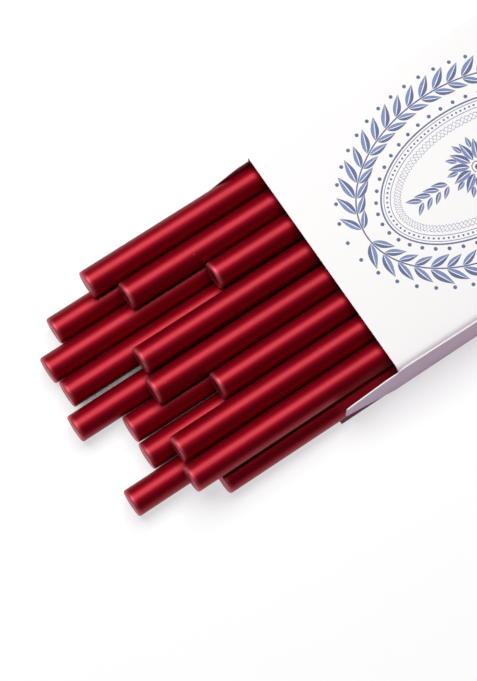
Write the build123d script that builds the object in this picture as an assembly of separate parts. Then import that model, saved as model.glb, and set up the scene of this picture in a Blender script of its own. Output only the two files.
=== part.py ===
from build123d import *
import os
from math import atan2, degrees, sqrt

os.makedirs("parts", exist_ok=True)

# Sealing wax sticks for a glue gun, drawn part way out of their tuck-end paperboard carton.
# X runs out of the open mouth along the sticks, Y towards the glued seam, Z up.
# The origin is the middle of the carton's underside.

# One round wax stick with softly broken rims
stick_diameter = 11.0
stick_length = 135.0
rim_radius = 0.9

# Two layers: each upper stick lies in the groove between two lower ones.
# A groove is the space between neighbours of the lower layer, counted from the fold wall;
# the first one is the half groove between the fold wall and the first lower stick.
groove_gaps = (0.6, 0.25, 0.25, 1.5, 0.3, 0.45, 0.45, 0.3)
layer_gap = 0.2
floor_gap = 0.3
wall_gap = 0.1

# How far each stick stands out of the mouth, counted from the fold wall
upper_draws = (75.0, 65.5, 34.5, 74.5, 77.0, 56.5, 81.5, 83.5)
lower_draws = (93.5, 103.5, 102.5, 107.0, 90.5, 91.0, 105.0, 73.0)

# The carton is one folded blank of solid white board, sized round two sticks in height
board = 0.45
depth_room = 2.1
length_room = 3.5
glue_tab_width = 12.0
glue_tab_setback = 5.0

# The open mouth has swayed under its load: there the top of the seam wall leans in by this much.
# The shut rear end holds the wall upright, so the wall twists from end to end.
seam_lean = 2.12

# Tuck closures: a lid on the bottom panel, a tongue on the lid, two dust flaps per end
lid_side_gap = 0.5
tuck_gap = 0.65
tongue_depth = 12.0
tongue_side_gap = 2.0
tongue_corner = 9.0
flap_length = 22.5
flap_shoulder = 5.0
flap_head_relief = 2.5
flap_foot_relief = 0.4
flap_tip_foot = 10.0
seam_flap_tip_head = 18.2
fold_flap_tip_head = 13.5
flap_corner = 1.5
flap_seat_gap = 0.3

# Worked out from the sizes above
stick_radius = stick_diameter / 2
pitches = [stick_diameter + gap for gap in groove_gaps]
carton_length = stick_length + length_room
carton_height = 2 * stick_diameter + depth_room + 2 * board
stack_width = pitches[0] / 2 + sum(pitches[1:]) + stick_diameter
lower_z = board + floor_gap + stick_radius
wall_height = carton_height - board
lean_beside_stick = seam_lean * (lower_z - board) / wall_height
carton_width = stack_width + 2 * wall_gap + lean_beside_stick + 2 * board
mouth_x = carton_length / 2
rear_x = -carton_length / 2
seam_y = carton_width / 2
fold_y = -carton_width / 2
roof_z = carton_height - board
tuck_top = roof_z - tuck_gap
lid_length = tuck_top - board
flap_head = roof_z - flap_head_relief
flap_foot = board + flap_foot_relief


def slab(x0, x1, y0, y1, z0, z1):
    return Pos((x0 + x1) / 2, (y0 + y1) / 2, (z0 + z1) / 2) * Box(x1 - x0, y1 - y0, z1 - z0)


def leaning_board(x0, x1, outer_y, foot, head):
    # A strip of board that follows the seam wall's twist, between two heights
    ends = []
    for x in (x0, x1):
        slope = seam_lean / wall_height * (x - rear_x) / carton_length
        foot_y = outer_y - slope * (foot - board)
        head_y = outer_y - slope * (head - board)
        outline = Polyline(
            (foot_y - board, foot), (foot_y, foot), (head_y, head), (head_y - board, head), close=True
        )
        ends.append(Plane.YZ.offset(x) * make_face(outline))
    return loft(ends, ruled=True)


def wax_stick(front_x, y, z):
    body = Cylinder(stick_radius, stick_length, rotation=(0, 90, 0))
    body = fillet(body.edges().filter_by(GeomType.CIRCLE), rim_radius)
    return Pos(front_x - stick_length / 2, y, z) * body


def dust_flap(tip_head):
    # Upright in the XZ plane, crease on the Z axis, board from Y 0 to Y board
    outline = Polyline(
        (0, flap_foot),
        (flap_length, flap_tip_foot),
        (flap_length, tip_head),
        (flap_shoulder, flap_head),
        (0, flap_head),
        close=True,
    )
    flap = extrude(Plane.XZ * make_face(outline), amount=-board)
    return fillet(flap.edges().filter_by(Axis.Y).group_by(Axis.X)[-1], flap_corner)


def lid_panel():
    # Flat on the XY plane, crease on the Y axis
    half = carton_width / 2 - lid_side_gap
    return slab(0, lid_length, -half, half, 0, board)


def tuck_tongue():
    # Flat on the XY plane, crease on the Y axis, shoulders rounded
    half = carton_width / 2 - tongue_side_gap
    tongue = slab(0, tongue_depth, -half, half, 0, board)
    return fillet(tongue.edges().filter_by(Axis.Z).group_by(Axis.X)[-1], tongue_corner)


# Lower layer on the bottom panel, upper layer in its grooves
lower_y = fold_y + board + wall_gap + stick_radius + pitches[0] / 2
for number, pitch in enumerate(pitches, start=1):
    if number > 1:
        lower_y += pitch
    upper_y = lower_y - pitch / 2
    upper_z = lower_z + sqrt((stick_diameter + layer_gap) ** 2 - (pitch / 2) ** 2)
    lower = wax_stick(mouth_x + lower_draws[number - 1], lower_y, lower_z)
    upper = wax_stick(mouth_x + upper_draws[number - 1], upper_y, upper_z)
    export_step(lower, f"parts/wax_stick_lower_{number}.step")
    export_step(upper, f"parts/wax_stick_upper_{number}.step")

# Sleeve: seam wall, bottom panel, fold wall, top panel, glue tab, in the order of the blank.
# The seam wall stands outside the tab with its raw cut edge level with the top panel.
bottom_panel = slab(rear_x, mouth_x, fold_y, seam_y, 0, board)
fold_wall = slab(rear_x, mouth_x, fold_y, fold_y + board, board, roof_z)
seam_wall = leaning_board(rear_x, mouth_x, seam_y, board, carton_height)
top_outline = Polyline(
    (rear_x, fold_y),
    (mouth_x, fold_y),
    (mouth_x, seam_y - board - seam_lean),
    (rear_x, seam_y - board),
    close=True,
)
top_panel = extrude(Plane.XY.offset(roof_z) * make_face(top_outline), amount=board)
glue_tab = leaning_board(
    rear_x + glue_tab_setback,
    mouth_x - glue_tab_setback,
    seam_y - board,
    roof_z - glue_tab_width,
    roof_z,
)
export_step(bottom_panel, "parts/carton_bottom_panel.step")
export_step(fold_wall, "parts/carton_fold_wall.step")
export_step(seam_wall, "parts/carton_seam_wall.step")
export_step(top_panel, "parts/carton_top_panel.step")
export_step(glue_tab, "parts/carton_glue_tab.step")

# Open front end: flaps in line with the walls, lid and tongue flat under the sticks
fold_flap, seam_flap = dust_flap(fold_flap_tip_head), dust_flap(seam_flap_tip_head)
export_step(Pos(mouth_x, fold_y, 0) * fold_flap, "parts/front_dust_flap_fold.step")
lean_angle = degrees(atan2(seam_lean, wall_height))
leaned = Pos(0, seam_y, board) * Rot(lean_angle, 0, 0) * Pos(0, -seam_y, -board)
export_step(leaned * Pos(mouth_x, seam_y - board, 0) * seam_flap, "parts/front_dust_flap_seam.step")
export_step(Pos(mouth_x, 0, 0) * lid_panel(), "parts/front_lid_panel.step")
export_step(Pos(mouth_x + lid_length, 0, 0) * tuck_tongue(), "parts/front_tuck_tongue.step")

# Closed rear end: flaps folded in, lid upright behind them, tongue tucked under the top panel
rear_flap_x = rear_x + flap_seat_gap
rear_fold = Pos(rear_flap_x, fold_y + board, 0) * Rot(0, 0, 90) * Pos(0, -board, 0) * fold_flap
lean_beside_flap = seam_lean * (flap_seat_gap + board) / carton_length
rear_seam = Pos(rear_flap_x, seam_y - board - lean_beside_flap, 0) * Rot(0, 0, -90) * seam_flap
rear_lid = Pos(rear_x, 0, board) * Rot(0, -90, 0) * lid_panel()
rear_tongue = Pos(rear_x, 0, tuck_top - board) * tuck_tongue()
export_step(rear_fold, "parts/rear_dust_flap_fold.step")
export_step(rear_seam, "parts/rear_dust_flap_seam.step")
export_step(rear_lid, "parts/rear_lid_panel.step")
export_step(rear_tongue, "parts/rear_tuck_tongue.step")
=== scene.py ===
import math
import bpy
from mathutils import Matrix, Vector


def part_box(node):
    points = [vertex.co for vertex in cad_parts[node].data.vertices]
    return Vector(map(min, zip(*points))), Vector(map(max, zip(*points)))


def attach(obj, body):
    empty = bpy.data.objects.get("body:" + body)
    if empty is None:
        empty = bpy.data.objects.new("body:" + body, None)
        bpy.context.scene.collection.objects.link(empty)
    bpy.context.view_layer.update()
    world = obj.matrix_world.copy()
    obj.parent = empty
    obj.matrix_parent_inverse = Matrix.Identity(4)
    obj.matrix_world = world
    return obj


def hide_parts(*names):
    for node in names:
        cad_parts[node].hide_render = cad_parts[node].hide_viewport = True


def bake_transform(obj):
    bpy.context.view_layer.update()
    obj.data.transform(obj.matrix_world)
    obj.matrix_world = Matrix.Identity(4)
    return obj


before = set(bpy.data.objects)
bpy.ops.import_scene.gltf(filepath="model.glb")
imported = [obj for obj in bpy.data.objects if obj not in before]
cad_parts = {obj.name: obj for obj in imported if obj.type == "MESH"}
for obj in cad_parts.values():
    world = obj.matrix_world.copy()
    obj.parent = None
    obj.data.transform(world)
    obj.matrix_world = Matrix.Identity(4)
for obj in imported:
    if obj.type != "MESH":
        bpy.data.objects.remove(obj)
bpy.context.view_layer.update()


# Wax sticks: sixteen round sticks of pearl-red sealing wax for a glue gun, in two layers of eight.
# Each is moulded in one piece, with softly broken rims and ends that sank a little as they cooled.
# They lie loose, the upper ones in the grooves of the lower ones, and each slides along its axis.
MM = 0.001
sticks_in_layer = 8
stick_length = 135 * MM
stick_radius = 5.5 * MM
stick_rim = 0.9 * MM
stick_sunk_end = 0.1 * MM
stick_unevenness = 0.03 * MM
stick_lump_size = 9 * MM
stick_rings = 61
stick_sides = 64
stick_weld = 0.002 * MM
rim_starts, rim_ends = 0.6, 0.8
# How much of the painted rim highlight is left in the middle of each end face, and over what share it
# fades.
end_fade, end_face_highlight = 0.6, 0.15
# How far the painted rim highlight reaches along the body from each rim.
rim_highlight_reach = 0.9 * MM
wax_deep = (0.24, 0.0006, 0.008, 1)
wax_pearl = (0.37, 0.0011, 0.0132, 1)
# Painted highlight: the paler pink and the lower metal that are painted round each rim.
wax_rim_highlight = (0.95, 0.18, 0.25, 1)
wax_metal, rim_highlight_metal = 0.88, 0.5
wax_roughness = (0.49, 0.6)
wax_coat, wax_coat_roughness = 0.27, 0.33
mica_size = (0.16 * MM, 0.16 * MM, 0.16 * MM)
cloud_size = (14 * MM, 4 * MM, 4 * MM)
streak_size = (30 * MM, 0.4 * MM, 0.4 * MM)
nick_spacing, nick_reach = (9 * MM, 5 * MM, 5 * MM), 0.06
# How strongly the painted rim highlight shows, varied with the clouds in the wax.
highlight_least, highlight_most = 0.3, 0.85
wax_relief = 0.03 * MM


def put(tree, kind, inputs, **settings):
    """Adds a node; an input is a plain value or the socket that feeds it."""
    node = tree.nodes.new(kind)
    for key, value in settings.items():
        setattr(node, key, value)
    for key, value in inputs.items():
        if isinstance(value, bpy.types.NodeSocket):
            tree.links.new(value, node.inputs[key])
        else:
            node.inputs[key].default_value = value
    return node


def calc(tree, operation, *terms):
    return put(tree, "ShaderNodeMath", dict(enumerate(terms)), operation=operation).outputs[0]


def share(tree, value, start, end):
    """How far a value has come from start to end, from 0 to 1."""
    return put(tree, "ShaderNodeMapRange", {"Value": value, "From Min": start, "From Max": end}).outputs[0]


def new_tree(name, kind, inputs, outputs):
    """A node tree with named inputs and outputs; gives the tree, what comes in and what goes out."""
    tree = bpy.data.node_groups.new(name, kind)
    for label, socket in inputs.items():
        tree.interface.new_socket(label, in_out="INPUT", socket_type="NodeSocket" + socket)
    for label, socket in outputs.items():
        tree.interface.new_socket(label, in_out="OUTPUT", socket_type="NodeSocket" + socket)
    return tree, tree.nodes.new("NodeGroupInput").outputs, tree.nodes.new("NodeGroupOutput").inputs


def grown(name, tree, values):
    """The plain mesh that a Geometry Nodes tree makes from these values, as a new piece."""
    piece = bpy.data.objects.new(name, bpy.data.meshes.new(name))
    bpy.context.scene.collection.objects.link(piece)
    modifier = piece.modifiers.new("grown", "NODES")
    modifier.node_group = tree
    for item in tree.interface.items_tree:
        if item.in_out == "INPUT":
            modifier[item.identifier] = values[item.name]
    seen = piece.evaluated_get(bpy.context.evaluated_depsgraph_get())
    mesh = bpy.data.meshes.new_from_object(seen)
    piece.modifiers.clear()
    piece.data = mesh
    mesh.name = name
    return piece


def cells_of(tree, size):
    """Places on the piece, counted in cells of this size."""
    place = put(tree, "ShaderNodeTexCoord", {}).outputs["Object"]
    return put(tree, "ShaderNodeVectorMath", {0: place, 1: size}, operation="DIVIDE").outputs[0]


def grain_group():
    """Cloudy or streaky grain: Cell is the size of one grain along X, Y and Z."""
    tree, given, result = new_tree(
        "grain", "ShaderNodeTree", {"Cell": "Vector", "Detail": "Float"}, {"Mask": "Float"}
    )
    cells = cells_of(tree, given["Cell"])
    noise = put(tree, "ShaderNodeTexNoise", {"Vector": cells, "Scale": 1.0, "Detail": given["Detail"]})
    tree.links.new(noise.outputs[0], result["Mask"])
    return tree


def marks_group():
    """Sparse small marks: nicks, scuffs and dust, one in about every third cell of Spacing."""
    tree, given, result = new_tree(
        "handling marks", "ShaderNodeTree", {"Spacing": "Vector", "Reach": "Float"}, {"Mask": "Float"}
    )
    cells = cells_of(tree, given["Spacing"])
    spots = put(tree, "ShaderNodeTexVoronoi", {"Vector": cells, "Scale": 1.0})
    ragged = put(tree, "ShaderNodeTexNoise", {"Vector": cells, "Scale": 9.0, "Detail": 2.0}).outputs[0]
    edge = calc(tree, "MULTIPLY", given["Reach"], calc(tree, "MULTIPLY", ragged, 2.0))
    inside = calc(tree, "SUBTRACT", 1.0, share(tree, spots.outputs["Distance"], 0.0, edge))
    draw = put(tree, "ShaderNodeSeparateColor", {0: spots.outputs["Color"]}).outputs[0]
    tree.links.new(calc(tree, "MULTIPLY", inside, calc(tree, "GREATER_THAN", draw, 0.66)), result["Mask"])
    return tree


grain = grain_group()
marks = marks_group()


def grained(tree, cell, detail=2.0):
    return put(tree, "ShaderNodeGroup", {"Cell": cell, "Detail": detail}, node_tree=grain).outputs[0]


def marked(tree, spacing, reach):
    return put(tree, "ShaderNodeGroup", {"Spacing": spacing, "Reach": reach}, node_tree=marks).outputs[0]


def tinted(tree, amount, colour_a, colour_b):
    return put(tree, "ShaderNodeMix", {0: amount, 6: colour_a, 7: colour_b}, data_type="RGBA").outputs[2]


def scaled(tree, value, low, high):
    """A mask from 0 to 1 stretched over low to high."""
    return put(tree, "ShaderNodeMapRange", {"Value": value, "To Min": low, "To Max": high}).outputs[0]


def pearl_wax():
    """Wax coloured right through, with fine mica, drawn streaks, small nicks and a painted highlight:
    paler, duller rims.
    """
    made = bpy.data.materials.new("pearl_red_wax")
    made.use_nodes = True
    tree = made.node_tree
    shader = tree.nodes["Principled BSDF"]
    mica = grained(tree, mica_size)
    clouds = grained(tree, cloud_size)
    streaks = grained(tree, streak_size, 3.0)
    nicks = marked(tree, nick_spacing, nick_reach)
    shimmer = calc(tree, "ADD", calc(tree, "MULTIPLY", mica, 0.6), calc(tree, "MULTIPLY", clouds, 0.4))
    colour = tinted(tree, shimmer, wax_deep, wax_pearl)
    # Painted highlight: the stored rim mask paints the rims paler and less metallic.
    rim_highlight = put(tree, "ShaderNodeAttribute", {}, attribute_name="rim_highlight").outputs["Fac"]
    rim_highlight_paint = calc(tree, "MULTIPLY", rim_highlight, scaled(tree, clouds, highlight_least, highlight_most))
    pale = calc(tree, "MAXIMUM", rim_highlight_paint, calc(tree, "MULTIPLY", nicks, 0.35))
    tree.links.new(tinted(tree, pale, colour, wax_rim_highlight), shader.inputs["Base Color"])
    tree.links.new(scaled(tree, rim_highlight_paint, wax_metal, rim_highlight_metal), shader.inputs["Metallic"])
    drawn = scaled(tree, streaks, *wax_roughness)
    tree.links.new(calc(tree, "ADD", drawn, calc(tree, "MULTIPLY", nicks, 0.2)), shader.inputs["Roughness"])
    height = calc(tree, "ADD", calc(tree, "MULTIPLY", streaks, 0.35), calc(tree, "MULTIPLY", mica, 0.15))
    dented = calc(tree, "SUBTRACT", height, calc(tree, "MULTIPLY", nicks, 1.5))
    bump = put(tree, "ShaderNodeBump", {"Strength": 0.35, "Distance": wax_relief, "Height": dented})
    tree.links.new(bump.outputs[0], shader.inputs["Normal"])
    shader.inputs["Specular IOR Level"].default_value = 0.0
    shader.inputs["Coat Weight"].default_value = wax_coat
    shader.inputs["Coat Roughness"].default_value = wax_coat_roughness
    return made


def place_of(tree):
    """The place of each point of a mesh, as X, Y and Z."""
    place = put(tree, "GeometryNodeInputPosition", {}).outputs[0]
    return put(tree, "ShaderNodeSeparateXYZ", {0: place}).outputs


def stick_tree():
    """Turns a flat grid into a closed stick: along it lie the body, the rims and the sunk ends."""
    tree, given, result = new_tree(
        "wax stick",
        "GeometryNodeTree",
        {
            "Length": "Float", "Radius": "Float", "Rim": "Float", "Highlight reach": "Float", "Sunk end": "Float",
            "Unevenness": "Float", "Lump size": "Float", "Seed": "Float",
            "Centre": "Vector", "Wax": "Material",
        },
        {"Stick": "Geometry"},
    )
    sheet = put(
        tree, "GeometryNodeMeshGrid",
        {"Size X": 2.0, "Size Y": 1.0, "Vertices X": stick_rings, "Vertices Y": stick_sides + 1},
    ).outputs["Mesh"]
    flat = place_of(tree)
    along = calc(tree, "ABSOLUTE", flat["X"])
    turn = calc(tree, "MULTIPLY", flat["Y"], -2 * math.pi)
    left = calc(tree, "SUBTRACT", 1.0, share(tree, along, 0.0, rim_starts))
    body = calc(tree, "SUBTRACT", 1.0, calc(tree, "MULTIPLY", left, left))
    rim_turn = calc(tree, "MULTIPLY", share(tree, along, rim_starts, rim_ends), math.pi / 2)
    end = share(tree, along, rim_ends, 1.0)
    half = calc(tree, "SUBTRACT", calc(tree, "DIVIDE", given["Length"], 2.0), given["Rim"])
    inner = calc(tree, "SUBTRACT", given["Radius"], given["Rim"])
    reach = calc(tree, "MULTIPLY", half, body)
    reach = calc(tree, "ADD", reach, calc(tree, "MULTIPLY", given["Rim"], calc(tree, "SINE", rim_turn)))
    dip = calc(tree, "SINE", calc(tree, "MULTIPLY", end, math.pi / 2))
    reach = calc(tree, "SUBTRACT", reach, calc(tree, "MULTIPLY", given["Sunk end"], dip))
    x = calc(tree, "MULTIPLY", reach, calc(tree, "SIGN", flat["X"]))
    round_off = calc(tree, "MULTIPLY", given["Rim"], calc(tree, "COSINE", rim_turn))
    radius = calc(tree, "ADD", inner, round_off)
    radius = calc(tree, "SUBTRACT", radius, calc(tree, "MULTIPLY", inner, end))

    def rolled(distance):
        return put(
            tree, "ShaderNodeCombineXYZ",
            {
                "X": x,
                "Y": calc(tree, "MULTIPLY", distance, calc(tree, "COSINE", turn)),
                "Z": calc(tree, "MULTIPLY", distance, calc(tree, "SINE", turn)),
            },
        ).outputs[0]

    lump_scale = calc(tree, "DIVIDE", 1.0, given["Lump size"])
    lumps = put(
        tree, "ShaderNodeTexNoise",
        {"Vector": rolled(given["Radius"]), "W": given["Seed"], "Scale": lump_scale, "Detail": 1.0},
        noise_dimensions="4D",
    ).outputs[0]
    shrunk = calc(tree, "MULTIPLY", lumps, given["Unevenness"])
    shrunk = calc(tree, "MULTIPLY", shrunk, calc(tree, "SUBTRACT", 1.0, end))
    radius = calc(tree, "SUBTRACT", radius, shrunk)
    place = put(
        tree, "ShaderNodeVectorMath", {0: rolled(radius), 1: given["Centre"]}, operation="ADD"
    ).outputs[0]
    # Painted highlight round each end: strongest on the rim, fading along the body over a short reach,
    # weaker in the middle of the end face.
    from_rim = calc(tree, "SUBTRACT", half, calc(tree, "MULTIPLY", half, body))
    highlight_near_rim = calc(tree, "SUBTRACT", 1.0, share(tree, from_rim, 0.0, given["Highlight reach"]))
    highlight_near_rim = calc(tree, "MULTIPLY", highlight_near_rim, share(tree, rim_turn, -math.pi / 4, math.pi / 4))
    face_unpainted = calc(tree, "MULTIPLY", share(tree, end, 0.0, end_fade), 1.0 - end_face_highlight)
    rim_highlight_mask = calc(tree, "SUBTRACT", highlight_near_rim, face_unpainted)
    sheet = put(
        tree, "GeometryNodeStoreNamedAttribute", {"Geometry": sheet, "Name": "rim_highlight", "Value": rim_highlight_mask}
    ).outputs[0]
    stick = put(tree, "GeometryNodeSetPosition", {"Geometry": sheet, "Position": place}).outputs[0]
    stick = put(tree, "GeometryNodeMergeByDistance", {"Geometry": stick, "Distance": stick_weld}).outputs[0]
    stick = put(tree, "GeometryNodeSetShadeSmooth", {"Geometry": stick}).outputs[0]
    stick = put(tree, "GeometryNodeRealizeInstances", {"Geometry": stick}).outputs[0]
    stick = put(tree, "GeometryNodeSetMaterial", {"Geometry": stick, "Material": given["Wax"]}).outputs[0]
    tree.links.new(stick, result["Stick"])
    return tree


wax = pearl_wax()
moulding = stick_tree()
for layer_number, layer in enumerate(("upper", "lower")):
    for number in range(1, sticks_in_layer + 1):
        node = f"wax_stick_{layer}_{number}"
        low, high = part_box(node)
        stick = grown(
            f"wax_{layer}_{number}",
            moulding,
            {
                "Length": stick_length, "Radius": stick_radius, "Rim": stick_rim, "Highlight reach": rim_highlight_reach,
                "Sunk end": stick_sunk_end, "Unevenness": stick_unevenness,
                "Lump size": stick_lump_size, "Seed": float(layer_number * sticks_in_layer + number),
                "Centre": (low + high) / 2, "Wax": wax,
            },
        )
        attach(stick, node)
        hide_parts(node)


# Carton sleeve: one blank of white solid board, coated outside, folded round the stack as seam wall,
# bottom, fold wall, top and glue tab. The tab hangs from the top panel and is glued inside the seam
# wall, whose raw cut edge shows beside the top crease. At the swayed mouth that wall leans in.
board = 0.45 * MM
crease_radius = 0.55 * MM
mouth_x, rear_x = 69.25 * MM, -69.25 * MM
seam_y, fold_y = 49.45 * MM, -49.45 * MM
top_z = 24.96 * MM
carton_top = 25 * MM
seam_lean = 2.12 * MM
seam_edge_z = 24.5 * MM
seam_corner_back, seam_corner_drop = 3 * MM, 1.1 * MM
tab_roll = 2.4 * MM
tab_face_y = 48.96 * MM
tab_foot_z = 12.55 * MM
tab_setback, tab_slant = 5 * MM, 1.5 * MM
flap_foot, flap_head = 0.85 * MM, 22.05 * MM
rear_turn = 0.5 * MM
rear_flap_x = -68.95 * MM
rear_wall_end = rear_flap_x + rear_turn
lid_turn = 0.7 * MM
rear_floor_end = rear_x - board + lid_turn
step = 0.02 * MM
crease_steps = 6
sleeve_columns = 28
panel_strips, wall_strips, tab_strips = 24, 8, 6
coat_white = (0.93, 0.916, 0.902, 1)
coat_shade = (0.897, 0.882, 0.868, 1)
coat_fibre = (0.4 * MM, 0.4 * MM, 0.4 * MM)
coat_roughness, coat_relief = (0.64, 0.78), 0.012 * MM
inside_white = (0.86, 0.84, 0.86, 1)
inside_shade = (0.78, 0.75, 0.78, 1)
inside_fibre = (1.6 * MM, 0.18 * MM, 0.18 * MM)
inside_roughness, inside_relief = (0.75, 0.92), 0.04 * MM
edge_white = (0.97, 0.95, 0.97, 1)
edge_shade = (0.9, 0.87, 0.9, 1)
edge_fibre = (0.5 * MM, 0.5 * MM, 0.07 * MM)
edge_roughness, edge_relief = (0.8, 0.95), 0.05 * MM
mottle_size = (2.6 * MM, 2.6 * MM, 2.6 * MM)
scuff_spacing, scuff_reach = (17 * MM, 17 * MM, 17 * MM), 0.035
scuff_grey = (0.6, 0.58, 0.6, 1)


def board_finish(name, pale, shade, fibre, roughness, relief):
    """Board with soft mottling, fibres of the given size and a few scuffs."""
    made = bpy.data.materials.new(name)
    made.use_nodes = True
    tree = made.node_tree
    shader = tree.nodes["Principled BSDF"]
    mottle = grained(tree, mottle_size)
    fibres = grained(tree, fibre, 3.0)
    scuffs = marked(tree, scuff_spacing, scuff_reach)
    mixed = calc(tree, "ADD", calc(tree, "MULTIPLY", mottle, 0.5), calc(tree, "MULTIPLY", fibres, 0.5))
    colour = tinted(tree, mixed, pale, shade)
    colour = tinted(tree, calc(tree, "MULTIPLY", scuffs, 0.3), colour, scuff_grey)
    tree.links.new(colour, shader.inputs["Base Color"])
    tree.links.new(scaled(tree, mixed, *roughness), shader.inputs["Roughness"])
    bump = put(tree, "ShaderNodeBump", {"Strength": 0.4, "Distance": relief, "Height": mixed})
    tree.links.new(bump.outputs[0], shader.inputs["Normal"])
    return made


board_finishes = [
    board_finish("coated_board", coat_white, coat_shade, coat_fibre, coat_roughness, coat_relief),
    board_finish(
        "uncoated_board", inside_white, inside_shade, inside_fibre, inside_roughness, inside_relief
    ),
    board_finish("cut_board", edge_white, edge_shade, edge_fibre, edge_roughness, edge_relief),
]


def board_piece(name, rows, columns, face):
    """Board laid out in rows: each row is (place along, low side, high side).
    face(along, side) gives the point on the coated face and the direction that it looks in."""
    across = [k / columns for k in range(columns + 1)]
    outer, inner = [], []
    for along, low, high in rows:
        for part in across:
            point, outward = face(along, low + (high - low) * part)
            outer.append(point)
            inner.append(point - outward * board)
    wide, tall = columns + 1, len(rows)
    shift = wide * tall
    faces, finish = [], []
    for r in range(tall - 1):
        for c in range(columns):
            a = r * wide + c
            quad = (a, a + 1, a + 1 + wide, a + wide)
            faces.append(quad)
            finish.append(0)
            faces.append(tuple(shift + v for v in reversed(quad)))
            finish.append(1)
    border = list(range(columns))
    border += [r * wide + columns for r in range(tall - 1)]
    border += [(tall - 1) * wide + c for c in range(columns, 0, -1)]
    border += [r * wide for r in range(tall - 1, 0, -1)]
    for a, b in zip(border, border[1:] + border[:1]):
        faces.append((b, a, shift + a, shift + b))
        finish.append(2)
    mesh = bpy.data.meshes.new(name)
    mesh.from_pydata(outer + inner, [], faces)
    for made in board_finishes:
        mesh.materials.append(made)
    mesh.polygons.foreach_set("material_index", finish)
    mesh.polygons.foreach_set("use_smooth", [True] * len(faces))
    cut = {frozenset((a, b)) for a, b in zip(border, border[1:] + border[:1])}
    cut |= {frozenset(v + shift for v in pair) for pair in cut}
    for edge in mesh.edges:
        edge.use_edge_sharp = frozenset(edge.vertices) in cut
    mesh.update()
    piece = bpy.data.objects.new(name, mesh)
    bpy.context.scene.collection.objects.link(piece)
    return piece


def run(start, end, pieces):
    return [start + (end - start) * k / pieces for k in range(pieces + 1)]


def lean_at(x, z):
    """How far the seam wall stands in at this place along it and up it."""
    along, up = (x - rear_x) / (mouth_x - rear_x), (z - board) / (carton_top - board)
    return seam_lean * along * max(0.0, up)


def sleeve_rows():
    """Rows round the sleeve: ((point in YZ, outward way in YZ, share of the lean), rear end, mouth end)."""
    rows = []

    def row(y, z, way, leans, rear=rear_x, mouth=mouth_x):
        rows.append((((y, z), way, leans), rear, mouth))

    def wall(y, heights, outward):
        leans = 1 if outward > 0 else 0
        for z in heights:
            beside_flap = flap_foot - step / 2 < z < flap_head + step / 2
            row(y, z, (outward, 0), leans, rear_wall_end if beside_flap else rear_x)

    def crease(y, z, first, leans, radius=crease_radius):
        for k in range(1, crease_steps):
            angle = math.radians(first - 90 * k / crease_steps)
            way = (math.cos(angle), math.sin(angle))
            row(y + radius * way[0], z + radius * way[1], way, leans)

    low_z, high_z = crease_radius, top_z - crease_radius
    up = [low_z, flap_foot - step] + run(flap_foot, flap_head, wall_strips) + [flap_head + step]
    row(seam_y, seam_edge_z, (1, 0), 1, mouth=mouth_x - seam_corner_back)
    wall(seam_y, [seam_edge_z - seam_corner_drop] + up[::-1], 1)
    crease(seam_y - crease_radius, crease_radius, 0, 1)
    for y in run(seam_y - crease_radius, fold_y + crease_radius, panel_strips):
        row(y, 0.0, (0, -1), 0, rear_floor_end)
    crease(fold_y + crease_radius, crease_radius, 270, 0)
    wall(fold_y, up + [high_z], -1)
    crease(fold_y + crease_radius, high_z, 180, 0)
    roll_y, roll_z = tab_face_y - tab_roll, top_z - tab_roll
    top_start = fold_y + crease_radius
    for y in run(top_start, roll_y, panel_strips):
        row(y, top_z, (0, 1), (y - top_start) / (roll_y - top_start))
    crease(roll_y, roll_z, 90, 1, tab_roll)
    for k, z in enumerate(run(roll_z, tab_foot_z, tab_strips)):
        back = tab_setback + tab_slant * k / tab_strips
        row(tab_face_y, z, (1, 0), 1, rear_x + back, mouth_x - back)
    return rows


def sleeve_face(section, x):
    (y, z), (out_y, out_z), leans = section
    return Vector((x, y - leans * lean_at(x, z), z)), Vector((0, out_y, out_z))


sleeve = board_piece("carton_sleeve", sleeve_rows(), sleeve_columns, sleeve_face)
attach(sleeve, "carton")
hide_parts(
    "carton_bottom_panel", "carton_fold_wall", "carton_seam_wall", "carton_top_panel", "carton_glue_tab",
)


# Printed ornament: blue ink on the coated top panel, laid on flat before the blank was cut and
# folded. Two garlands of paired leaves with berries meet round ruled and beaded ovals; inside
# them lie a band of woven lines, two sprigs and a rosette of petals.
ink_foot, ink_top = 24.955 * MM, 24.99 * MM
ink_lift = 0.004 * MM
stem_half = (50 * MM, 33.5 * MM)
leaf_size = (9.8 * MM, 3.3 * MM)
leaf_angle = math.radians(33)
leaf_pairs = 44
leaf_offset = 0.5 * MM
leaf_belly, leaf_curl, leaf_vein = 0.8, 0.1, 0.12
leaf_variation = (0.9, 1.06)
inner_leaf_share = 0.84
garland_gap = 11 * MM
berry_radius = 0.75 * MM
berry_reach = 7.4 * MM
bead_radius = 0.42 * MM
beads = 104
petal_size = (8.2 * MM, 3.1 * MM)
small_petal_size = (4.6 * MM, 1.9 * MM)
petals = 12
petal_reach, small_petal_reach, small_petal_shift = 3 * MM, 5.6 * MM, 2.2 * MM
eye_radius, eye_ring_radius, eye_ring_line = 1.1 * MM, 2.2 * MM, 0.35 * MM
sprig_start, sprig_end = 13.5 * MM, 25 * MM
sprig_leaves, sprig_leaf_share = 4, 0.66
rule_inset, bead_inset, woven_inset = 9.4 * MM, 11.7 * MM, 15.6 * MM
outer_fine_inset, inner_fine_inset = 10.5 * MM, 12.9 * MM
stem_line, rule_line, fine_line, woven_line = 0.55 * MM, 0.6 * MM, 0.25 * MM, 0.22 * MM
woven_lines, woven_waves, woven_swing = 3, 40.0, 1.5 * MM
full_ink, bead_tone, fine_tone, woven_tone = 0.0, 0.15, 0.3, 0.5
hatch_width = 0.55 * MM
ornament_seed = 7
line_steps = 180
ink_weld, solid_weld = 0.001 * MM, 0.0005 * MM
ink_dark = (0.062, 0.095, 0.235, 1)
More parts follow.
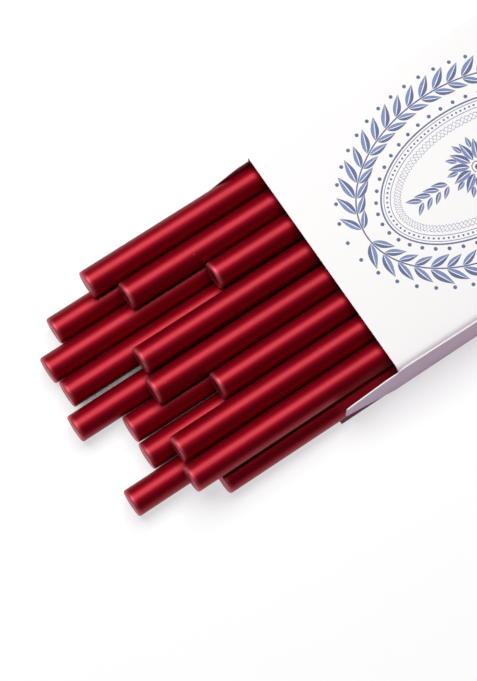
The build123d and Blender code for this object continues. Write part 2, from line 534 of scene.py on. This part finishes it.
ink_pale = (0.2, 0.29, 0.56, 1)
ink_roughness = (0.4, 0.62)
ink_relief = 0.01 * MM
speckle_size = (0.22 * MM, 0.22 * MM, 0.22 * MM)
cover_size = (6 * MM, 6 * MM, 6 * MM)


def joined(tree, parts):
    node = tree.nodes.new("GeometryNodeJoinGeometry")
    for part in parts:
        tree.links.new(part, node.inputs[0])
    return node.outputs[0]


def toned(tree, part, tone):
    """Gives a printed part its tone, from 0 for full ink to 1 for open hatching."""
    return put(
        tree, "GeometryNodeStoreNamedAttribute", {"Geometry": part, "Name": "tone", "Value": tone},
        data_type="FLOAT", domain="FACE",
    ).outputs[0]


def oval_line_tree():
    """A closed line along an oval, plain or in waves."""
    tree, given, result = new_tree(
        "oval line",
        "GeometryNodeTree",
        {
            "Half length": "Float", "Half width": "Float", "Line": "Float",
            "Waves": "Float", "Swing": "Float", "Phase": "Float", "Level": "Float", "Tone": "Float",
        },
        {"Ink": "Geometry"},
    )
    sheet = put(
        tree, "GeometryNodeMeshGrid",
        {"Size X": 1.0, "Size Y": 1.0, "Vertices X": line_steps + 1, "Vertices Y": 2},
    ).outputs["Mesh"]
    flat = place_of(tree)
    turn = calc(tree, "MULTIPLY", flat["X"], -2 * math.pi)
    wave = calc(tree, "ADD", calc(tree, "MULTIPLY", turn, given["Waves"]), given["Phase"])
    swing = calc(tree, "MULTIPLY", calc(tree, "SINE", wave), given["Swing"])
    out = calc(tree, "ADD", swing, calc(tree, "MULTIPLY", flat["Y"], given["Line"]))
    long_reach = calc(tree, "ADD", given["Half length"], out)
    wide_reach = calc(tree, "ADD", given["Half width"], out)
    place = put(
        tree, "ShaderNodeCombineXYZ",
        {
            "X": calc(tree, "MULTIPLY", long_reach, calc(tree, "COSINE", turn)),
            "Y": calc(tree, "MULTIPLY", wide_reach, calc(tree, "SINE", turn)),
            "Z": given["Level"],
        },
    ).outputs[0]
    line = put(tree, "GeometryNodeSetPosition", {"Geometry": sheet, "Position": place}).outputs[0]
    line = put(tree, "GeometryNodeMergeByDistance", {"Geometry": line, "Distance": ink_weld}).outputs[0]
    tree.links.new(toned(tree, line, given["Tone"]), result["Ink"])
    return tree


def leaf_tree():
    """A pointed leaf along X in two halves, one dark and one pale, with the bare vein between them."""
    tree, given, result = new_tree(
        "leaf", "GeometryNodeTree", {"Length": "Float", "Width": "Float"}, {"Ink": "Geometry"}
    )
    sheet = put(
        tree, "GeometryNodeMeshGrid", {"Size X": 1.0, "Size Y": 2.0, "Vertices X": 9, "Vertices Y": 4}
    ).outputs["Mesh"]
    flat = place_of(tree)
    sheet = toned(tree, sheet, calc(tree, "GREATER_THAN", flat["Y"], 0.0))
    off_vein = calc(tree, "ABSOLUTE", flat["Y"])
    vein = calc(tree, "LESS_THAN", off_vein, 0.2)
    sheet = put(
        tree, "GeometryNodeDeleteGeometry", {"Geometry": sheet, "Selection": vein}, domain="FACE"
    ).outputs[0]
    along = calc(tree, "ADD", flat["X"], 0.5)
    belly = calc(tree, "SINE", calc(tree, "MULTIPLY", calc(tree, "POWER", along, leaf_belly), math.pi))
    half = calc(tree, "MULTIPLY", belly, calc(tree, "DIVIDE", given["Width"], 2.0))
    edge = put(
        tree, "ShaderNodeMapRange",
        {"Value": off_vein, "From Min": 1 / 3, "From Max": 1.0, "To Min": leaf_vein, "To Max": 1.0},
    ).outputs[0]
    side = calc(tree, "MULTIPLY", calc(tree, "SIGN", flat["Y"]), calc(tree, "MULTIPLY", half, edge))
    bend = calc(tree, "MULTIPLY", given["Length"], leaf_curl)
    curl = calc(tree, "MULTIPLY", calc(tree, "MULTIPLY", along, along), bend)
    place = put(
        tree, "ShaderNodeCombineXYZ",
        {"X": calc(tree, "MULTIPLY", along, given["Length"]), "Y": calc(tree, "ADD", side, curl), "Z": 0.0},
    ).outputs[0]
    leaf = put(tree, "GeometryNodeSetPosition", {"Geometry": sheet, "Position": place}).outputs[0]
    leaf = put(tree, "GeometryNodeMergeByDistance", {"Geometry": leaf, "Distance": ink_weld}).outputs[0]
    tree.links.new(leaf, result["Ink"])
    return tree


def ornament_tree(oval_line, leaf):
    """The whole ornament, flat, then given the thickness of the ink as closed solids."""
    tree, given, result = new_tree(
        "printed ornament",
        "GeometryNodeTree",
        {
            "Half length": "Float", "Half width": "Float", "Leaf length": "Float", "Leaf width": "Float",
            "Leaf angle": "Float", "Leaf pairs": "Int", "Berry radius": "Float", "Berry reach": "Float",
            "Bead radius": "Float", "Beads": "Int", "Seed": "Int", "Foot": "Float", "Top": "Float",
            "Ink": "Material",
        },
        {"Ornament": "Geometry"},
    )

    def line(inset, width, tone, waves=0.0, swing=0.0, phase=0.0, level=0.0):
        return put(
            tree, "GeometryNodeGroup",
            {
                "Half length": calc(tree, "SUBTRACT", given["Half length"], inset),
                "Half width": calc(tree, "SUBTRACT", given["Half width"], inset),
                "Line": width, "Waves": waves, "Swing": swing, "Phase": phase, "Level": level, "Tone": tone,
            },
            node_tree=oval_line,
        ).outputs[0]

    def ring(radius, width, tone):
        return put(
            tree, "GeometryNodeGroup",
            {"Half length": radius, "Half width": radius, "Line": width, "Tone": tone}, node_tree=oval_line,
        ).outputs[0]

    def moved(part, shift=(0, 0, 0), turn=(0, 0, 0), size=(1, 1, 1)):
        return put(
            tree, "GeometryNodeTransform",
            {"Geometry": part, "Translation": shift, "Rotation": turn, "Scale": size},
        ).outputs[0]

    def round_line(points, radius):
        return put(
            tree, "GeometryNodeCurvePrimitiveCircle", {"Resolution": points, "Radius": radius}
        ).outputs[0]

    def oval(inset, count, start=0.0):
        size = put(
            tree, "ShaderNodeCombineXYZ",
            {
                "X": calc(tree, "SUBTRACT", given["Half length"], inset),
                "Y": calc(tree, "SUBTRACT", given["Half width"], inset),
                "Z": 1.0,
            },
        ).outputs[0]
        path = moved(moved(round_line(line_steps, 1.0), turn=(0, 0, start)), size=size)
        return put(tree, "GeometryNodeResampleCurve", {"Curve": path, "Count": count}).outputs[0]

    def dot(radius, tone):
        disc = put(
            tree, "GeometryNodeMeshCircle", {"Vertices": 12, "Radius": radius}, fill_type="NGON"
        ).outputs[0]
        return toned(tree, disc, tone)

    def one_leaf(length, width):
        return put(tree, "GeometryNodeGroup", {"Length": length, "Width": width}, node_tree=leaf).outputs[0]

    def set_on(points, part, way, size=(1, 1, 1), chosen=True):
        turn = put(
            tree, "FunctionNodeAlignRotationToVector", {"Vector": way}, axis="X", pivot_axis="Z"
        ).outputs[0]
        return put(
            tree, "GeometryNodeInstanceOnPoints",
            {"Points": points, "Selection": chosen, "Instance": part, "Rotation": turn, "Scale": size},
        ).outputs[0]

    def growing():
        tangent = put(tree, "GeometryNodeInputTangent", {}).outputs[0]
        side = calc(tree, "SIGN", place_of(tree)["Y"])
        return put(tree, "ShaderNodeVectorMath", {0: tangent, "Scale": side}, operation="SCALE").outputs[0]

    def leaf_pair(side):
        """The smaller leaf of a pair lies inside the oval; side says which half the garland is on."""
        leaves = []
        for way, length_share in ((side, inner_leaf_share), (-side, 1.0)):
            length = calc(tree, "MULTIPLY", given["Leaf length"], length_share)
            width = calc(tree, "MULTIPLY", given["Leaf width"], length_share)
            slant = calc(tree, "MULTIPLY", given["Leaf angle"], way)
            turn = put(tree, "ShaderNodeCombineXYZ", {"Z": slant}).outputs[0]
            leaves.append(moved(one_leaf(length, width), (0, leaf_offset * way, 0), turn))
        return joined(tree, leaves)

    def on_garland(side):
        spot = place_of(tree)
        gap = calc(tree, "MULTIPLY", calc(tree, "LESS_THAN", spot["X"], 0.0), garland_gap)
        return calc(tree, "GREATER_THAN", calc(tree, "MULTIPLY", spot["Y"], side), gap)

    stem = oval(0.0, given["Leaf pairs"], 0.5 * 2 * math.pi / leaf_pairs)
    least, most = leaf_variation
    varied = put(
        tree, "FunctionNodeRandomValue", {2: least, 3: most, "Seed": given["Seed"]}, data_type="FLOAT"
    ).outputs[1]
    berry = dot(given["Berry radius"], full_ink)
    reach = put(tree, "ShaderNodeCombineXYZ", {"Y": given["Berry reach"]}).outputs[0]
    other_side = calc(tree, "MULTIPLY", given["Berry reach"], -1.0)
    far_reach = put(tree, "ShaderNodeCombineXYZ", {"Y": other_side}).outputs[0]
    berries = joined(tree, [moved(berry, reach), moved(berry, far_reach)])
    petal = one_leaf(*petal_size)
    small_petal = moved(one_leaf(*small_petal_size), (small_petal_shift, 0, 0))
    outward = put(tree, "GeometryNodeInputPosition", {}).outputs[0]

    def petal_ring(radius, start):
        return moved(round_line(petals, radius), turn=(0, 0, start))

    def sprig(start_x, end_x):
        return put(
            tree, "GeometryNodeMeshLine",
            {"Count": sprig_leaves, "Start Location": (start_x, 0, 0), "Offset": (end_x, 0, 0)},
            mode="END_POINTS",
        ).outputs[0]

    sprig_leaf = moved(leaf_pair(1.0), size=(sprig_leaf_share, sprig_leaf_share, 1))
    parts = [
        line(0.0, stem_line, full_ink, level=-ink_lift),
        set_on(stem, leaf_pair(1.0), growing(), varied, on_garland(1.0)),
        set_on(stem, leaf_pair(-1.0), growing(), varied, on_garland(-1.0)),
        set_on(oval(0.0, given["Leaf pairs"], 0.9 * 2 * math.pi / leaf_pairs), berries, growing()),
        line(rule_inset, rule_line, full_ink),
        line(outer_fine_inset, fine_line, fine_tone),
        set_on(oval(bead_inset, given["Beads"]), dot(given["Bead radius"], bead_tone), growing()),
        line(inner_fine_inset, fine_line, fine_tone),
        ring(eye_ring_radius, eye_ring_line, full_ink),
        dot(eye_radius, full_ink),
        set_on(petal_ring(petal_reach, 0.0), petal, outward),
        set_on(petal_ring(small_petal_reach, math.pi / petals), small_petal, outward),
        set_on(sprig(sprig_start, sprig_end), sprig_leaf, (1, 0, 0)),
        set_on(sprig(-sprig_start, -sprig_end), sprig_leaf, (-1, 0, 0)),
    ]
    for number in range(woven_lines):
        phase = number * 2 * math.pi / woven_lines
        parts.append(
            line(woven_inset, woven_line, woven_tone, woven_waves, woven_swing, phase, -number * ink_lift)
        )
    flat = put(tree, "GeometryNodeRealizeInstances", {"Geometry": joined(tree, parts)}).outputs[0]
    thick = calc(tree, "SUBTRACT", given["Top"], given["Foot"])
    foot_place = put(tree, "ShaderNodeCombineXYZ", {"Z": given["Foot"]}).outputs[0]
    foot = moved(flat, foot_place)
    raised = put(
        tree, "GeometryNodeExtrudeMesh",
        {"Mesh": foot, "Offset": (0, 0, 1), "Offset Scale": thick, "Individual": False},
    ).outputs["Mesh"]
    under = put(tree, "GeometryNodeFlipFaces", {"Mesh": foot}).outputs[0]
    solid = put(
        tree, "GeometryNodeMergeByDistance",
        {"Geometry": joined(tree, [raised, under]), "Distance": solid_weld},
    ).outputs[0]
    solid = put(tree, "GeometryNodeRealizeInstances", {"Geometry": solid}).outputs[0]
    solid = put(tree, "GeometryNodeSetMaterial", {"Geometry": solid, "Material": given["Ink"]}).outputs[0]
    tree.links.new(solid, result["Ornament"])
    return tree


def printed_ink():
    """Blue offset ink: pale halves are hatched, and the board's grain breaks the ink up a little."""
    made = bpy.data.materials.new("blue_ink")
    made.use_nodes = True
    tree = made.node_tree
    shader = tree.nodes["Principled BSDF"]
    tone = put(tree, "ShaderNodeAttribute", {}, attribute_name="tone").outputs["Fac"]
    spot = put(tree, "ShaderNodeTexCoord", {}).outputs["Object"]
    place = put(tree, "ShaderNodeSeparateXYZ", {0: spot}).outputs
    slant = calc(tree, "ADD", place["X"], calc(tree, "MULTIPLY", place["Y"], 0.6))
    hatch = calc(tree, "SINE", calc(tree, "MULTIPLY", slant, 2 * math.pi / hatch_width))
    open_hatch = calc(tree, "MULTIPLY", tone, share(tree, hatch, -0.9, 0.3))
    speckle = grained(tree, speckle_size)
    cover = grained(tree, cover_size)
    colour = tinted(tree, open_hatch, ink_dark, ink_pale)
    broken = calc(tree, "MULTIPLY", share(tree, speckle, 0.55, 0.75), calc(tree, "MULTIPLY", cover, 0.55))
    tree.links.new(tinted(tree, broken, colour, coat_shade), shader.inputs["Base Color"])
    tree.links.new(scaled(tree, speckle, *ink_roughness), shader.inputs["Roughness"])
    bump = put(tree, "ShaderNodeBump", {"Strength": 0.3, "Distance": ink_relief, "Height": speckle})
    tree.links.new(bump.outputs[0], shader.inputs["Normal"])
    return made


ornament = grown(
    "printed_ornament",
    ornament_tree(oval_line_tree(), leaf_tree()),
    {
        "Half length": stem_half[0], "Half width": stem_half[1],
        "Leaf length": leaf_size[0], "Leaf width": leaf_size[1],
        "Leaf angle": leaf_angle, "Leaf pairs": leaf_pairs,
        "Berry radius": berry_radius, "Berry reach": berry_reach,
        "Bead radius": bead_radius, "Beads": beads,
        "Seed": ornament_seed, "Foot": ink_foot, "Top": ink_top, "Ink": printed_ink(),
    },
)
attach(ornament, "carton")


# Open end: a lid on the bottom panel, a tuck tongue on the lid and a dust flap on each wall, all
# cut from the same blank and joined to it by creases. The lid and its tongue lie flat under the
# sticks, coated face down, and the flaps stand in line with the walls.
crease_width = 0.5 * MM
crease_bead = 0.07 * MM
lid_half = 48.95 * MM
lid_end_x = 92.7 * MM
lid_length = 23.45 * MM
tongue_half = 47.45 * MM
tongue_depth = 12 * MM
tongue_corner = 9 * MM
flap_length = 22.5 * MM
flap_shoulder = 5 * MM
flap_tip_foot = 10 * MM
flap_tip_heads = {"fold": 13.5 * MM, "seam": 18.2 * MM}
flap_corner = 1.5 * MM
lid_columns, flap_columns = 24, 10
lid_strips, shoulder_strips, taper_strips = 8, 3, 6
tongue_turns, tip_turns = 10, 9


def tongue_rows(first):
    """From the crease to the rounded shoulders, as (depth, low side, high side)."""
    straight = tongue_depth - tongue_corner
    rows = [(u, -tongue_half, tongue_half) for u in run(first, straight, shoulder_strips)]
    for k in range(1, tongue_turns + 1):
        angle = math.radians(90 * k / tongue_turns)
        half = tongue_half - tongue_corner * (1 - math.cos(angle))
        rows.append((straight + tongue_corner * math.sin(angle), -half, half))
    return rows


def flap_rows(first, tip_head):
    """From the crease to the tapered, rounded tip, as (length, foot, head)."""
    foot_slope = (flap_tip_foot - flap_foot) / flap_length
    head_slope = (tip_head - flap_head) / (flap_length - flap_shoulder)
    turn_x = flap_length - flap_corner

    def straight_foot(u):
        return flap_foot + foot_slope * u

    def straight_head(u):
        return flap_head + head_slope * max(0.0, u - flap_shoulder)

    foot_rise, head_rise = math.hypot(1, foot_slope), math.hypot(1, head_slope)
    foot_centre = straight_foot(turn_x) + flap_corner * foot_rise
    head_centre = straight_head(turn_x) - flap_corner * head_rise
    rows = []
    stations = run(first, flap_shoulder, shoulder_strips) + run(flap_shoulder, turn_x, taper_strips)[1:]
    for k in range(1, tip_turns + 1):
        stations.append(turn_x + flap_corner * math.sin(math.radians(90 * k / tip_turns)))
    for u in stations:
        drop = math.sqrt(max(0.0, flap_corner ** 2 - max(0.0, u - turn_x) ** 2))
        foot, head = straight_foot(u), straight_head(u)
        if u > turn_x + flap_corner * foot_slope / foot_rise:
            foot = foot_centre - drop
        if u > turn_x - flap_corner * head_slope / head_rise:
            head = head_centre + drop
        rows.append((u, foot, head))
    return rows


def flat_crease(low, high):
    """Rows of a flat scored crease, from one leaf to the next."""
    return [(u, low, high) for u in run(0.0, crease_width, crease_steps)]


def scored(u):
    """The score pressed in from the coated face, which leaves a bead on the other one."""
    return crease_bead * math.sin(math.pi * u / crease_width)


def front_floor(start_x, groove=None):
    def face(u, side):
        return Vector((start_x + u, side, groove(u) if groove else 0.0)), Vector((0, 0, -1))
    return face


def front_wall(y, outward, groove=None):
    def face(u, side):
        inward = groove(u) if groove else 0.0
        if outward > 0:
            inward += lean_at(mouth_x, side)
        return Vector((mouth_x + u, y - outward * inward, side)), Vector((0, outward, 0))
    return face


lid_rows = [(u, -lid_half, lid_half) for u in run(crease_width, lid_length, lid_strips)]
front_lid = board_piece("front_lid", lid_rows, lid_columns, front_floor(mouth_x))
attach(front_lid, "front_lid_panel")
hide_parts("front_lid_panel")
front_tongue = board_piece(
    "front_tongue", tongue_rows(crease_width), lid_columns, front_floor(lid_end_x)
)
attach(front_tongue, "front_tuck_tongue")
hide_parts("front_tuck_tongue")
lid_crease = board_piece(
    "front_lid_crease", flat_crease(-lid_half, lid_half), lid_columns, front_floor(mouth_x, scored)
)
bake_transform(lid_crease)
tongue_crease = board_piece(
    "front_tongue_crease",
    flat_crease(-tongue_half, tongue_half), lid_columns, front_floor(lid_end_x, scored),
)
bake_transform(tongue_crease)
for wall, wall_y, outward in (("fold", fold_y, -1), ("seam", seam_y, 1)):
    body = f"front_dust_flap_{wall}"
    flap = board_piece(
        f"front_flap_{wall}",
        flap_rows(crease_width, flap_tip_heads[wall]), flap_columns, front_wall(wall_y, outward),
    )
    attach(flap, body)
    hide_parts(body)
    crease = board_piece(
        f"front_flap_{wall}_crease",
        flat_crease(flap_foot, flap_head), flap_columns, front_wall(wall_y, outward, scored),
    )
    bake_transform(crease)


# Closed end: the same lid, tongue and dust flaps, folded shut. The flaps turn in behind the
# walls, the lid stands outside them, and its tongue is tucked in under the top panel.
tuck_top = 23.9 * MM
tongue_start = lid_turn - board
corner_steps = 8


def rear_upright(z, side):
    return Vector((rear_x - board, side, z)), Vector((-1, 0, 0))


def rear_tuck(u, side):
    return Vector((rear_x + u, side, tuck_top)), Vector((0, 0, 1))


def rear_turned(outward):
    def face(u, side):
        return Vector((rear_flap_x, outward * (seam_y - board - u), side)), Vector((-1, 0, 0))
    return face


def corner(middle, radius, from_way, to_way):
    """A quarter turn of board round a middle line, from one outward direction to the next."""
    def face(turn, side):
        angle = turn * math.pi / 2
        way = from_way * math.cos(angle) + to_way * math.sin(angle)
        return middle(side) + way * radius, way
    return face


def corner_rows(low, high):
    return [(k / corner_steps, low, high) for k in range(corner_steps + 1)]


back_way, up_way, down_way = Vector((-1, 0, 0)), Vector((0, 0, 1)), Vector((0, 0, -1))
lid_corner_x = rear_floor_end
rear_lid_rows = [(z, -lid_half, lid_half) for z in run(lid_turn, tuck_top - lid_turn, lid_strips)]
rear_lid = board_piece("rear_lid", rear_lid_rows, lid_columns, rear_upright)
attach(rear_lid, "rear_lid_panel")
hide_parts("rear_lid_panel")
rear_tongue = board_piece("rear_tongue", tongue_rows(tongue_start), lid_columns, rear_tuck)
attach(rear_tongue, "rear_tuck_tongue")
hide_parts("rear_tuck_tongue")
foot_crease = board_piece(
    "rear_lid_crease", corner_rows(-lid_half, lid_half), lid_columns,
    corner(lambda side: Vector((lid_corner_x, side, lid_turn)), lid_turn, down_way, back_way),
)
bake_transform(foot_crease)
head_crease = board_piece(
    "rear_tongue_crease", corner_rows(-tongue_half, tongue_half), lid_columns,
    corner(lambda side: Vector((lid_corner_x, side, tuck_top - lid_turn)), lid_turn, back_way, up_way),
)
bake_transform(head_crease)
for wall, outward in (("fold", -1), ("seam", 1)):
    body = f"rear_dust_flap_{wall}"
    flap = board_piece(
        f"rear_flap_{wall}",
        flap_rows(rear_turn - board, flap_tip_heads[wall]), flap_columns, rear_turned(outward),
    )
    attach(flap, body)
    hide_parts(body)
    wall_y, out_way = outward * seam_y, Vector((0, outward, 0))
    turn_y = outward * (seam_y - rear_turn)
    crease = board_piece(
        f"rear_flap_{wall}_crease", corner_rows(flap_foot, flap_head), flap_columns,
        corner(lambda side: Vector((rear_wall_end, turn_y, side)), rear_turn, out_way, back_way),
    )
    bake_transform(crease)


# Floor, light and camera: a plain white table top, one large soft lamp nearly overhead, a little
# to the fold side, a weak pinkish fill low on the seam side, and a long lens that looks down on
# the open end from the seam side.
floor_half = 12.0
floor_z = -0.1 * MM
floor_shade = (0.4, 0.4, 0.4, 1)
floor_glow = (0.63, 0.63, 0.63, 1)
floor_roughness = 0.9
# Painted shade in the floor: below these ambient occlusion levels the white glow is taken away in slits.
slit_depth = 12 * MM
slit_shut, slit_open = 0.1, 0.22
lamp_size = (0.75, 0.52)
lamp_distance = 0.8
lamp_lean = math.radians(20.5)
lamp_power = 8.0
fill_size = (0.9, 0.25)
fill_place = Vector((0.1, 0.74, 0.13))
fill_power = 0.26
fill_spread = math.radians(60)
fill_tint = (1.0, 0.58, 0.96)
sky = (0.03, 0.028, 0.036, 1)
look_at = Vector((108.45, 3.31, 10.0)) * MM
look_round, look_down, look_roll = math.radians(45.69), math.radians(75.6), math.radians(10.51)
look_distance = 698.74 * MM
lens = 100.6


def pale_floor():
    """Matt white, glowing white where seen or reflected; painted shade drops the glow in narrow slits."""
    made = bpy.data.materials.new("pale_floor")
    made.use_nodes = True
    tree = made.node_tree
    shader = tree.nodes["Principled BSDF"]
    shader.inputs["Base Color"].default_value = floor_shade
    shader.inputs["Roughness"].default_value = floor_roughness
    shader.inputs["Specular IOR Level"].default_value = 0.0
    shader.inputs["Emission Color"].default_value = floor_glow
    ray = put(tree, "ShaderNodeLightPath", {}).outputs
    seen = calc(tree, "MAXIMUM", ray["Is Camera Ray"], ray["Is Glossy Ray"])
    seen = calc(tree, "MAXIMUM", seen, ray["Is Transmission Ray"])
    # Painted shade: ambient occlusion takes the white glow away in the narrow slits between and under the
    # sticks.
    room = put(tree, "ShaderNodeAmbientOcclusion", {"Distance": slit_depth}, samples=16).outputs["AO"]
    glow_less_slit_shade = calc(tree, "MULTIPLY", seen, share(tree, room, slit_shut, slit_open))
    tree.links.new(glow_less_slit_shade, shader.inputs["Emission Strength"])
    return made


floor_mesh = bpy.data.meshes.new("floor")
floor_sides = ((-1, -1), (1, -1), (1, 1), (-1, 1))
floor_corners = [(x * floor_half, y * floor_half, floor_z) for x, y in floor_sides]
floor_mesh.from_pydata(floor_corners, [], [(0, 1, 2, 3)])
floor_mesh.materials.append(pale_floor())
floor = bpy.data.objects.new("floor", floor_mesh)
bpy.context.scene.collection.objects.link(floor)


def area_lamp(name, size, power, place, back_way):
    """A soft rectangular lamp that shines away from back_way."""
    made = bpy.data.lights.new(name, "AREA")
    made.shape = "RECTANGLE"
    made.size, made.size_y = size
    made.energy = power
    lamp = bpy.data.objects.new(name, made)
    lamp.location = place
    lamp.rotation_euler = back_way.to_track_quat("Z", "Y").to_euler()
    bpy.context.scene.collection.objects.link(lamp)
    return lamp


lamp_way = Vector((0, -math.sin(lamp_lean), math.cos(lamp_lean)))
area_lamp("soft_lamp", lamp_size, lamp_power, look_at + lamp_way * lamp_distance, lamp_way)
fill = area_lamp("fill_lamp", fill_size, fill_power, fill_place, fill_place - look_at)
fill.data.color = fill_tint
fill.data.spread = fill_spread
fill.visible_glossy = False

world = bpy.data.worlds.new("studio")
world.use_nodes = True
world.node_tree.nodes["Background"].inputs["Color"].default_value = sky
bpy.context.scene.world = world

camera_data = bpy.data.cameras.new("camera")
camera_data.lens = lens
camera = bpy.data.objects.new("camera", camera_data)
back = Vector(
    (
        math.cos(look_down) * math.cos(look_round),
        math.cos(look_down) * math.sin(look_round),
        math.sin(look_down),
    )
)
right = Vector((0, 0, 1)).cross(back).normalized()
rise = back.cross(right)
level, tilt = math.cos(look_roll), math.sin(look_roll)
turned_right, turned_rise = right * level + rise * tilt, rise * level - right * tilt
turn = Matrix((turned_right, turned_rise, back)).transposed()
camera.matrix_world = Matrix.Translation(look_at + back * look_distance) @ turn.to_4x4()
bpy.context.scene.collection.objects.link(camera)
bpy.context.scene.camera = camera
bpy.context.scene.view_settings.view_transform = "Standard"
